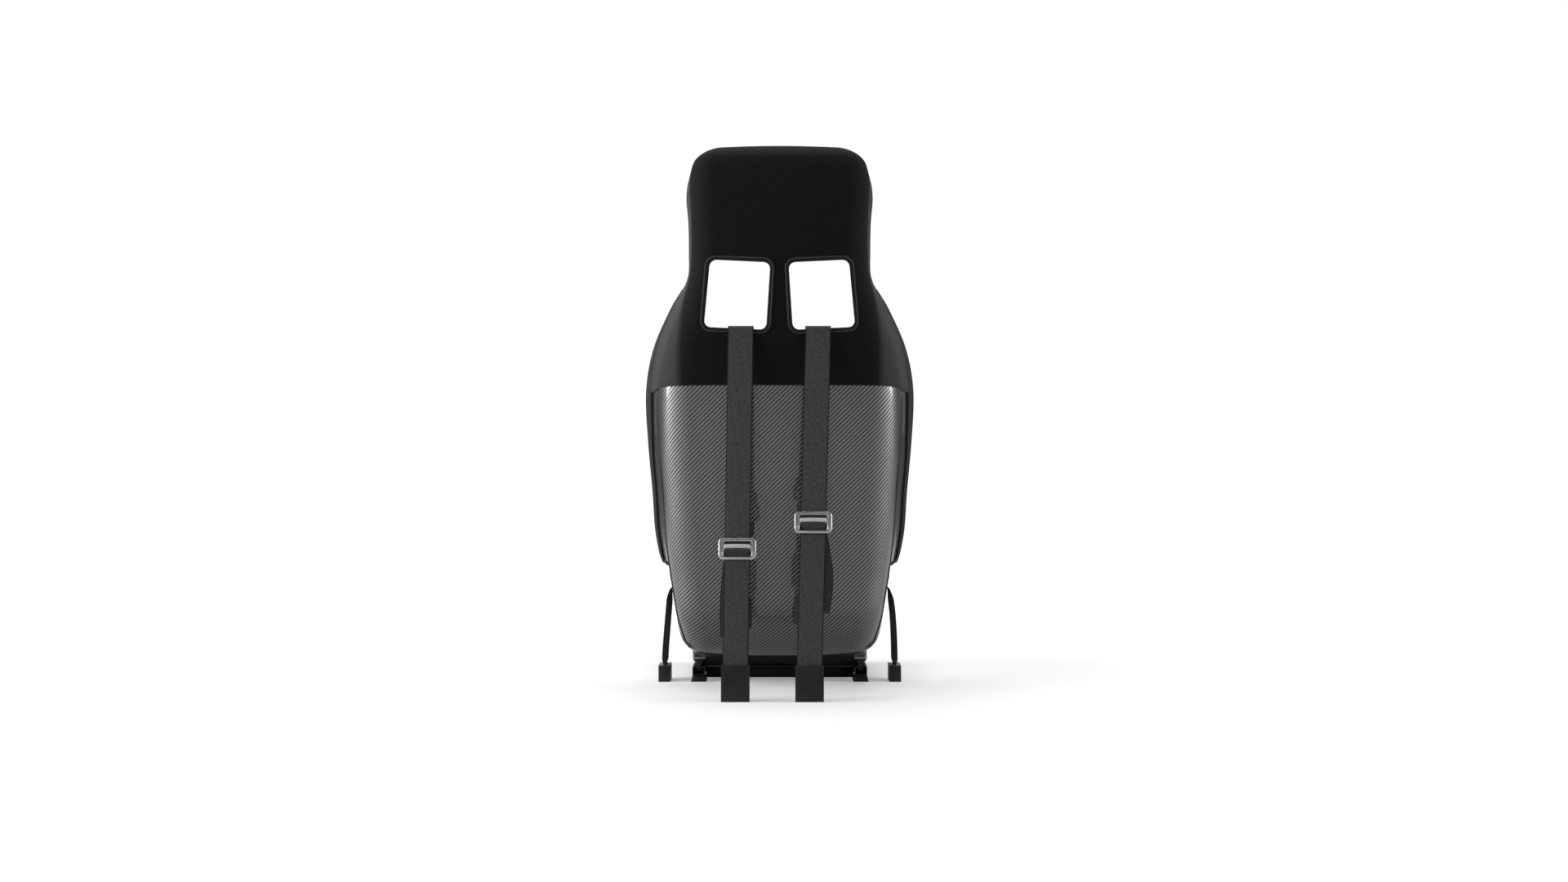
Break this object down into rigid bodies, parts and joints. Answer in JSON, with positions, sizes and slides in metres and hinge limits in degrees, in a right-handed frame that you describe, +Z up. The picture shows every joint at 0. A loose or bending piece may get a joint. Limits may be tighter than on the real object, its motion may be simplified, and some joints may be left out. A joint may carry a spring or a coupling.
{
  "type": "racing bucket seat",
  "caption": "Racing bucket seat with a carbon fibre moulding, cloth cover, slide rails and a six-point harness with floor anchors.",
  "frame": {"origin": "on the floor, in the middle of the assembly's width and length", "axes": "+Z up; the bucket opens and faces towards -Y; +X is the driver's left"},
  "size_m": [0.5362, 0.73, 1.0361],
  "materials": {
    "carbon": "clear-coated carbon fibre twill",
    "cover_fabric": "black diagonal twill cloth",
    "pad_fabric": "black knitted cloth over foam",
    "piping": "charcoal piping",
    "webbing": "black polyester webbing",
    "black_steel": "black powder coat",
    "boot_plastic": "moulded charcoal plastic",
    "bracket_aluminium": "brushed aluminium",
    "polished_steel": "polished plated steel",
    "zinc_steel": "zinc plated",
    "buckle_black": "black satin",
    "knob_aluminium": "satin anodised",
    "tongue_steel": "plated steel"
  },
  "bodies": {
    "floor_side": {"lower_rail_left": "black_steel", "lower_rail_right": "black_steel", "rail_foot_front_left": "black_steel", "rail_foot_front_right": "black_steel", "rail_foot_rear_left": "black_steel", "rail_foot_rear_right": "black_steel", "shoulder_anchor_left": "boot_plastic", "shoulder_anchor_right": "boot_plastic", "lap_anchor_left": "boot_plastic", "lap_anchor_right": "boot_plastic", "shoulder_anchor_plate_left": "black_steel", "shoulder_anchor_plate_right": "black_steel", "lap_anchor_plate_left": "black_steel", "lap_anchor_plate_right": "black_steel", "shoulder_strap_rear_left": "webbing", "shoulder_strap_rear_right": "webbing", "lap_strap_outer_left": "webbing", "lap_strap_outer_right": "webbing", "cross_member_front": "black_steel", "cross_member_rear": "black_steel"},
    "bucket": {"moulding": "carbon", "rear_cover": "cover_fabric", "head_pad": "pad_fabric", "back_pad": "pad_fabric", "seat_cushion": "pad_fabric", "seat_cross_member": "black_steel", "crotch_strap": "webbing", "buckle_body": "buckle_black", "wing_pad_left": "pad_fabric", "wing_pad_right": "pad_fabric", "thigh_pad_left": "pad_fabric", "thigh_pad_right": "pad_fabric", "window_trim_left": "piping", "window_trim_right": "piping", "edge_roll_left": "cover_fabric", "edge_roll_right": "cover_fabric", "upper_rail_left": "black_steel", "upper_rail_right": "black_steel", "side_bracket_left": "bracket_aluminium", "side_bracket_right": "bracket_aluminium", "bracket_bolt_front_left": "zinc_steel", "bracket_bolt_front_right": "zinc_steel", "bracket_bolt_rear_left": "zinc_steel", "bracket_bolt_rear_right": "zinc_steel", "shoulder_strap_front_left": "webbing", "shoulder_strap_front_right": "webbing", "lap_strap_inner_left": "webbing", "lap_strap_inner_right": "webbing", "shoulder_tongue_left": "tongue_steel", "shoulder_tongue_right": "tongue_steel", "lap_tongue_left": "tongue_steel", "lap_tongue_right": "tongue_steel"},
    "release_handle": {"release_bar": "black_steel"},
    "buckle_turn": {"buckle_knob": "knob_aluminium"},
    "ball_cage_left_body": {"ball_cage_left": "zinc_steel"},
    "adjuster_left": {"shoulder_adjuster_left": "polished_steel"},
    "adjuster_left_slider": {"adjuster_bar_left": "polished_steel"},
    "ball_cage_right_body": {"ball_cage_right": "zinc_steel"},
    "adjuster_right": {"shoulder_adjuster_right": "polished_steel"},
    "adjuster_right_slider": {"adjuster_bar_right": "polished_steel"}
  },
  "joints": [
    {"name": "seat_slide", "type": "slide", "parent": "floor_side", "child": "bucket", "axis": [0, 1, 0], "range_m": [-0.09, 0.09], "deforming": ["shoulder_strap_rear_left", "shoulder_strap_rear_right", "lap_strap_outer_left", "lap_strap_outer_right"]},
    {"name": "release_lift", "type": "hinge", "parent": "bucket", "child": "release_handle", "pos_m": [0, -0.205, 0.03635], "axis": [-1, 0, 0], "range_deg": [0, 12], "stiffness_Nm_per_rad": 1.5},
    {"name": "buckle_twist", "type": "hinge", "parent": "bucket", "child": "buckle_turn", "pos_m": [0, -0.01405, 0.11406], "axis": [0, 0.1541, 0.9881], "range_deg": [-35, 35], "stiffness_Nm_per_rad": 0.1},
    {"name": "cage_roll_left", "type": "slide", "parent": "floor_side", "child": "ball_cage_left_body", "axis": [0, 1, 0], "range_m": [-0.046, 0.046]},
    {"name": "cage_roll_right", "type": "slide", "parent": "floor_side", "child": "ball_cage_right_body", "axis": [0, 1, 0], "range_m": [-0.046, 0.046]},
    {"name": "adjuster_swing_left", "type": "slide", "parent": "floor_side", "child": "adjuster_left", "axis": [0, 1, 0], "range_m": [-0.034, 0.034]},
    {"name": "adjuster_grip_left", "type": "slide", "parent": "adjuster_left", "child": "adjuster_left_slider", "axis": [0, 0, 1], "range_m": [-0.003, 0.003]},
    {"name": "adjuster_swing_right", "type": "slide", "parent": "floor_side", "child": "adjuster_right", "axis": [0, 1, 0], "range_m": [-0.041, 0.041]},
    {"name": "adjuster_grip_right", "type": "slide", "parent": "adjuster_right", "child": "adjuster_right_slider", "axis": [0, 0, 1], "range_m": [-0.003, 0.003]}
  ],
  "couplings": [
    {"joint": "cage_roll_left", "follows": "seat_slide", "ratio": 0.5},
    {"joint": "cage_roll_right", "follows": "seat_slide", "ratio": 0.5},
    {"joint": "adjuster_swing_left", "follows": "seat_slide", "ratio": 0.29},
    {"joint": "adjuster_swing_right", "follows": "seat_slide", "ratio": 0.403}
  ]
}
